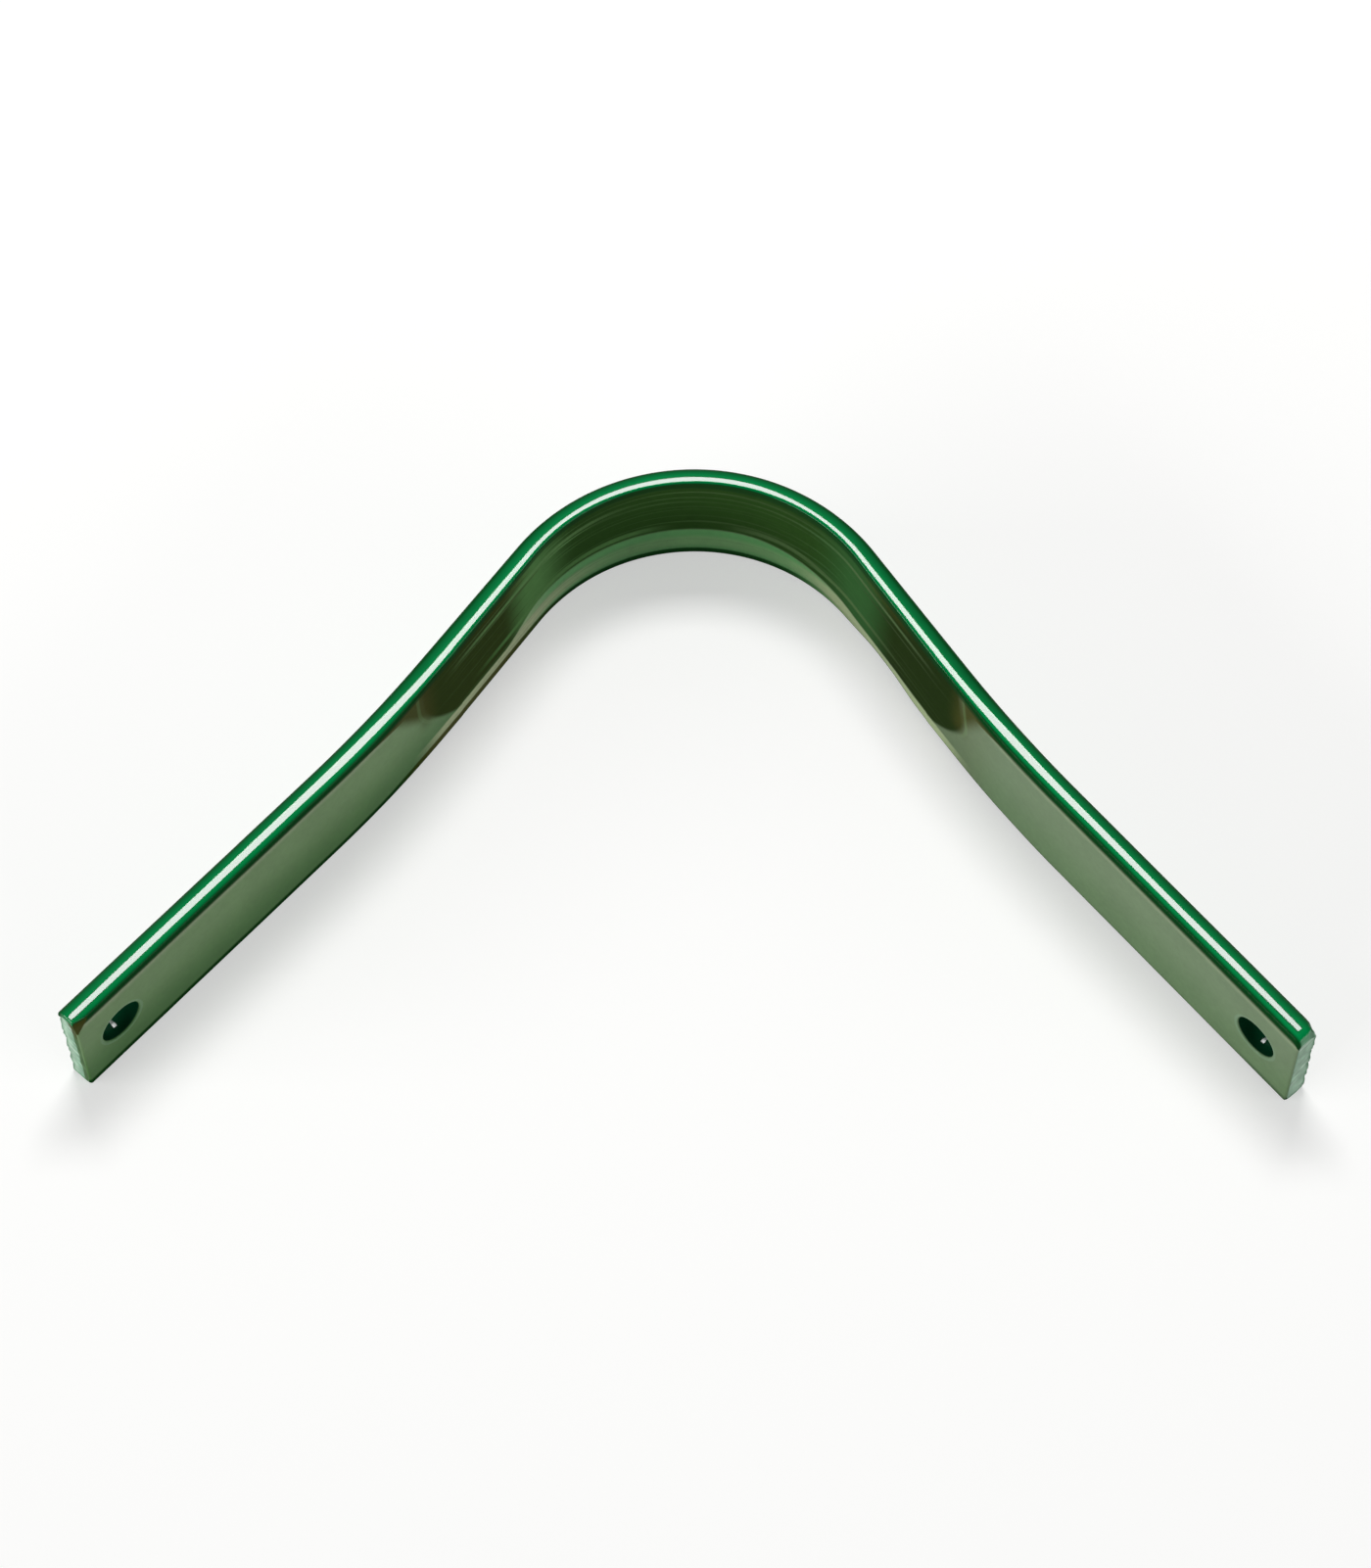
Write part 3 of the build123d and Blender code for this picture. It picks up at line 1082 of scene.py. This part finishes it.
def enamel_material(size):
    """Glossy green enamel, olive inside the arch, with painted light and shade: a dark reflection inside
    the bend, pale reflections, highlights, and shade along the edges and in the bores.
    """
    material, tree = new_material("green_enamel")
    bar = BarPlace(tree, size)
    along, across, around = bar.along, bar.across, bar.around
    right, inner, to_tip = bar.right, bar.inner, bar.to_tip
    edge_shade, painted_light = edge_masks(bar)
    dark_reflection, pale_reflection, reflection_edge_line = pool_masks(bar)
    left_ground, right_ground = ground_masks(bar)
    brown_shade = scorched_mask(bar)
    foot = foot_mask(bar)

    # The base is painted darker on the flats of the narrow sides, under the highlight, as painted shade;
    # that and the flats' gloss stop short of the tips
    past_gloss = calc("SUBTRACT", to_tip, lean(right, -0.4 * mm, 1.2 * mm))
    under_highlight = times(fade(around, 0.96, 1.0), fade(around, 1.05, 1.0))
    under_highlight = times(under_highlight, fade(past_gloss, 0.5 * mm, 1.5 * mm))

    # Marks of the rolls run along the bar, and make the edges of the painted lighter band ragged, where
    # the painted dark reflections of head and shoulder meet
    marks = place_group(
        tree, drawn_marks, Along=bar.signed_along, Across=across, Length=100 * mm, Spacing=1.2 * mm
    )
    marks = times(inner, marks, fade(along, 84 * mm, 55 * mm))
    streaked = thinning(bar, marks)
    painted_dark = times(dark_reflection, calc("SUBTRACT", 1.0, streaked))
    ragged = calc("MULTIPLY_ADD", marks, 9 * mm, along)
    light_band = times(
        fade(ragged, lean(right, 30 * mm, 28 * mm), 44 * mm),
        fade(ragged, lean(right, 56 * mm, 59 * mm), 47 * mm),
    )

    # A painted highlight runs just inside the upper inner edge of the legs, and a paler ring is painted
    # around the mouths of the holes
    off_hole = {"X": calc("SUBTRACT", to_tip, size.hole_to_tip), "Y": across}
    off_hole = add_node(tree, "ShaderNodeCombineXYZ", off_hole).outputs["Vector"]
    off_hole = add_node(tree, "ShaderNodeVectorMath", {0: off_hole}, operation="LENGTH")
    mouth = apart(off_hole.outputs["Value"], size.hole_radius + 0.5 * mm, 0.6 * mm)
    rim = times(inner, fade(across, 10.6 * mm, 12.6 * mm), fade(along, 84 * mm, 96 * mm))

    # Painted shade darkens the olive towards the lower edge and on the right flare, a painted highlight
    # lies under the upper edge, painted streaks of reflection cross the dark reflection, and the right
    # leg's olive differs as painted light and shade
    olive = coats(
        tint(right, size.olive_colour, size.right_olive_colour),
        (fade(across, 8 * mm, -12 * mm), lean(right, 1.0, 0.35), size.low_colour),
        (rim, 0.75, size.rim_colour),
        (mouth, 0.2, size.sheared_colour),
        (times(dark_reflection, streaked), 0.7, size.left_meeting_colour),
        (times(right, fade(along, 98 * mm, 84 * mm)), 0.30, size.scorched_colour),
    )
    # Painted shade along the lower edges, brown in the shoulders and dark on the right tip, and a
    # painted brown shade under the upper edge of the shoulders
    brown_foot = times(fade(along, 30 * mm, 58 * mm), fade(along, 94 * mm, 82 * mm))
    right_foot = times(inner, right, fade(to_tip, 18 * mm, 8 * mm))
    right_foot = times(right_foot, fade(across, -11.4 * mm, -12.6 * mm))
    brown_top_shade = times(
        inner,
        fade(across, 9.5 * mm, 12.5 * mm),
        fade(along, 44 * mm, 50 * mm),
        fade(along, 66 * mm, 58 * mm),
    )
    # Over the green go a painted highlight halo, painted shade under the highlight, in the bores and
    # along the edges, and the painted reflections inside the bend
    colour = coats(
        tint(painted_light, size.enamel_colour, size.bright_colour),
        (under_highlight, 0.6, size.bore_colour),
        (inner, 1.0, olive),
        (pale_reflection, 1.0, drained_tone(bar, marks)),
        (painted_dark, 1.0, pool_tone(bar, light_band)),
        (brown_shade, 0.92, size.scorched_colour),
        (reflection_edge_line, 0.3, size.olive_colour),
        (foot, 0.9, tint(brown_foot, size.arris_colour, size.scorched_colour)),
        (right_foot, 0.5, size.arris_colour),
        (brown_top_shade, 0.4, size.scorched_colour),
        (edge_shade, 0.9, size.arris_colour),
        (left_ground, 0.95, size.scorched_colour),
        (right_ground, 0.5, size.sheared_colour),
        (fade(bar.bore, 0.45, 1.0), 1.0, size.bore_colour),
    )
    colour = place_group(tree, tone_drift, Colour=colour, Amount=0.06, Size=12 * mm)
    colour = place_group(tree, tone_drift, Colour=colour, Amount=0.04, Size=1.5 * mm)

    # The gloss fades over the edges, in the painted dark reflection and at the ends, and glints in the
    # bores
    tip_side = fade(to_tip, size.hole_to_tip + 1 * mm, size.hole_to_tip - 1 * mm)
    glint = lean(fade(bar.depth, 2.8 * mm, 1.8 * mm), 0.12, 0.3)
    glint = lean(apart(bar.depth, 3.2 * mm, 1.0 * mm), glint, 0.95)
    gloss = lean(fade(around, 1.05, 1.30), 1.0, 0.3)
    for mask, weight in (
        (fade(past_gloss, 1.0 * mm, 0.0), 0.25),
        (dark_reflection, 0.03),
        (brown_shade, 0.05),
        (edge_shade, 0.05),
        (left_ground, 0.05),
        (calc("MAXIMUM", foot, fade(across, -12.4 * mm, -13.1 * mm)), 0.0),
        (bar.bore, times(tip_side, glint)),
    ):
        gloss = lean(mask, gloss, weight)

    peel = place_group(tree, enamel_peel, Size=1.6 * mm, Depth=0.003 * mm)
    height = calc("MULTIPLY_ADD", marks, 0.01 * mm, peel)
    coat = {"Coat Weight": gloss, "Coat Roughness": 0.06, "Coat IOR": 1.5}
    close_material(tree, height, {"Base Color": colour, "Roughness": 0.5, **coat})
    return material


def sheared_material(size):
    """Thin enamel over the rough sheared ends, with streaks of steel showing through it, and the right
    end painted paler as painted light.
    """
    material, tree = new_material("sheared_end")
    left = fade(mark(tree, "along_bar"), 12 * mm, -12 * mm)
    across = mark(tree, "across_bar")
    depth = mark(tree, "depth_in_bar")
    marks = place_group(
        tree,
        drawn_marks,
        Along=depth,
        Across=calc("MULTIPLY_ADD", depth, 0.35, across),
        Length=12 * mm,
        Spacing=1.5 * mm,
        Sharpness=0.1,
    )
    worn = times(fade(depth, 3.6 * mm, 0.8 * mm), 0.5)
    # On the right end the pale streak colour is painted in at 0.4 as painted light, for an end that lies
    # in weaker light; on the left it grows towards the outer face
    bare_and_painted_light = calc("MAXIMUM", marks, lean(left, 0.4, worn))
    long_edges = fade(gap(depth, size.leg_thickness / 2), 1.5 * mm, 2.8 * mm)
    short_edges = fade(calc("ABSOLUTE", across), 12.6 * mm, 14.2 * mm)

    # The left end rolls over into the inner face and the ground facet, in the olive darkened with the
    # painted shade colours
    ground = fade(across, half_width - GROUND_HEIGHT, half_width)
    to_inner = calc("MULTIPLY_ADD", ground, -size.corner_grind, size.leg_thickness)
    to_inner = calc("SUBTRACT", to_inner, depth)
    rolled = times(left, fade(to_inner, 2.2 * mm, 1.7 * mm))
    rolled_colour = Vector(size.olive_colour).lerp(Vector(size.dark_pool_colour), 0.5)
    rolled_tone = tint(fade(across, 6 * mm, 9 * mm), rolled_colour, size.scorched_colour)

    colour = coats(
        tint(bare_and_painted_light, size.sheared_colour, size.bare_colour),
        (calc("MAXIMUM", long_edges, short_edges), 0.75, size.enamel_colour),
        (rolled, 0.9, rolled_tone),
    )
    colour = place_group(tree, tone_drift, Colour=colour, Amount=0.25, Size=2.5 * mm)
    peel = place_group(tree, enamel_peel, Size=0.5 * mm, Depth=0.04 * mm)
    height = calc("MULTIPLY_ADD", marks, 0.08 * mm, peel)
    roughness = calc("MULTIPLY_ADD", marks, -0.15, 0.5)
    close_material(tree, height, {"Base Color": colour, "Roughness": roughness})
    return material


def floor_material(studio):
    """Pale even paper that stays white in view and in reflections, and keeps shadows."""
    material, tree = new_material("pale_floor")
    colour = (*studio.floor_colour, 1)
    colour = place_group(tree, tone_drift, Colour=colour, Amount=0.01, Size=0.3)
    paper = add_node(tree, "ShaderNodeBsdfDiffuse", {"Color": colour}).outputs["BSDF"]
    path = add_node(tree, "ShaderNodeLightPath").outputs
    seen = calc("MAXIMUM", path["Is Camera Ray"], path["Is Glossy Ray"])
    seen = calc("MAXIMUM", seen, path["Is Transmission Ray"])
    glow = {"Color": (1, 1, 1, 1), "Strength": times(seen, studio.floor_glow)}
    glow = add_node(tree, "ShaderNodeEmission", glow).outputs["Emission"]
    total = add_node(tree, "ShaderNodeAddShader", {0: paper, 1: glow}).outputs["Shader"]
    add_node(tree, "ShaderNodeOutputMaterial", {"Surface": total})
    return material


# ---------------------------------------------------------------- operators


class GULLET_OT_plate(bpy.types.Operator):
    """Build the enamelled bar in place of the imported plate"""

    bl_idname = "gullet.plate"
    bl_label = "Plate"

    def execute(self, context):
        """Sweeps the bar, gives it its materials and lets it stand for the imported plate."""
        size = context.scene.gullet_plate
        mesh = BarMesh(size)
        mesh.sweep()
        bar = mesh.finish("enamelled_bar")
        bar.data.materials.append(enamel_material(size))
        bar.data.materials.append(sheared_material(size))
        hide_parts(PLATE_NODE)
        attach(bar, BODY)
        return {"FINISHED"}


def add_object(name, data):
    """Adds an object to the scene."""
    obj = bpy.data.objects.new(name, data)
    bpy.context.scene.collection.objects.link(obj)
    return obj


def aim(obj, place, target, roll=0.0):
    """Puts an object at a place, with its -Z pointing at the target."""
    forward = (target - place).normalized()
    right = forward.cross(Vector((0, 0, 1))).normalized()
    up = right.cross(forward)
    turned_right = right * cos(roll) + up * sin(roll)
    turned_up = up * cos(roll) - right * sin(roll)
    axes = Matrix((turned_right, turned_up, -forward)).transposed()
    obj.matrix_world = Matrix.Translation(place) @ axes.to_4x4()


def add_softbox(name, place, target, width, height, irradiance):
    """An area light that gives this irradiance at its target, square to the light."""
    light = bpy.data.lights.new(name, "AREA")
    light.shape = "RECTANGLE"
    light.size = width
    light.size_y = height
    light.energy = pi * irradiance * (target - place).length ** 2
    aim(add_object(name, light), place, target)


def add_floor(studio):
    """Adds the round floor that the plate lies on."""
    bm = bmesh.new()
    bmesh.ops.create_circle(bm, cap_ends=True, segments=96, radius=studio.floor_radius)
    mesh = bpy.data.meshes.new("floor")
    bm.to_mesh(mesh)
    bm.free()
    mesh.materials.append(floor_material(studio))
    floor = add_object("floor", mesh)
    floor.location.z = box_low.z


def add_lights(studio, middle):
    """Adds the overhead softbox, the two low ones at the sides and the even sky."""
    overhead = middle + Vector((-0.03, 0.62, 1.2))
    add_softbox("overhead_softbox", overhead, middle, 0.66, 0.34, studio.key_strength)
    for name, side, strength in (
        ("left_softbox", -1, studio.left_strength),
        ("right_softbox", 1, studio.right_strength),
    ):
        place = middle + Vector((side * 2.1, -1.1, 0.7))
        add_softbox(name, place, middle, 2.4, 0.6, strength)
    world = bpy.data.worlds.new("studio_sky")
    world.use_nodes = True
    background = world.node_tree.nodes["Background"]
    background.inputs["Color"].default_value = (1, 1, 1, 1)
    background.inputs["Strength"].default_value = studio.sky_strength
    bpy.context.scene.world = world


def add_camera(studio, target):
    """Adds the camera, looking down at the target."""
    data = bpy.data.cameras.new("camera")
    data.lens = studio.camera_lens
    data.sensor_width = 36
    camera = add_object("camera", data)
    elevation, turn = studio.camera_elevation, studio.camera_turn
    sight = Vector((sin(turn) * cos(elevation), cos(turn) * cos(elevation), -sin(elevation)))
    aim(camera, target - sight * studio.camera_distance, target, studio.camera_roll)
    bpy.context.scene.camera = camera


class GULLET_OT_studio(bpy.types.Operator):
    """Build the pale floor, the soft lights and the camera"""

    bl_idname = "gullet.studio"
    bl_label = "Studio"

    def execute(self, context):
        """Adds the floor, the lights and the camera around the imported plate."""
        studio = context.scene.gullet_studio
        add_floor(studio)
        add_lights(studio, (box_low + box_high) / 2)
        add_camera(studio, Vector((*VIEW_MIDDLE, box_low.z + half_width)))
        context.scene.view_settings.view_transform = "Standard"
        return {"FINISHED"}


class GULLET_PT_panel(bpy.types.Panel):
    """Sizes, finish and building of the gullet plate"""

    bl_idname = "GULLET_PT_panel"
    bl_label = "Gullet Plate"
    bl_space_type = "VIEW_3D"
    bl_region_type = "UI"
    bl_category = "Gullet Plate"

    def draw(self, context):
        """Lists every setting above the operator that uses it."""
        for settings, operator in (
            (context.scene.gullet_plate, GULLET_OT_plate),
            (context.scene.gullet_studio, GULLET_OT_studio),
        ):
            box = self.layout.box()
            for name in type(settings).__annotations__:
                box.prop(settings, name)
            box.operator(operator.bl_idname)


CLASSES = (PlateSettings, StudioSettings, GULLET_OT_plate, GULLET_OT_studio, GULLET_PT_panel)


def register():
    """Registers the classes and gives the scene its settings."""
    for cls in CLASSES:
        bpy.utils.register_class(cls)
    bpy.types.Scene.gullet_plate = bpy.props.PointerProperty(type=PlateSettings)
    bpy.types.Scene.gullet_studio = bpy.props.PointerProperty(type=StudioSettings)


def unregister():
    """Takes back what register did."""
    del bpy.types.Scene.gullet_studio
    del bpy.types.Scene.gullet_plate
    for cls in reversed(CLASSES):
        bpy.utils.unregister_class(cls)


def main():
    """Builds the plate and its studio."""
    register()
    bpy.ops.gullet.plate()
    bpy.ops.gullet.studio()


if __name__ == "__main__":
    main()
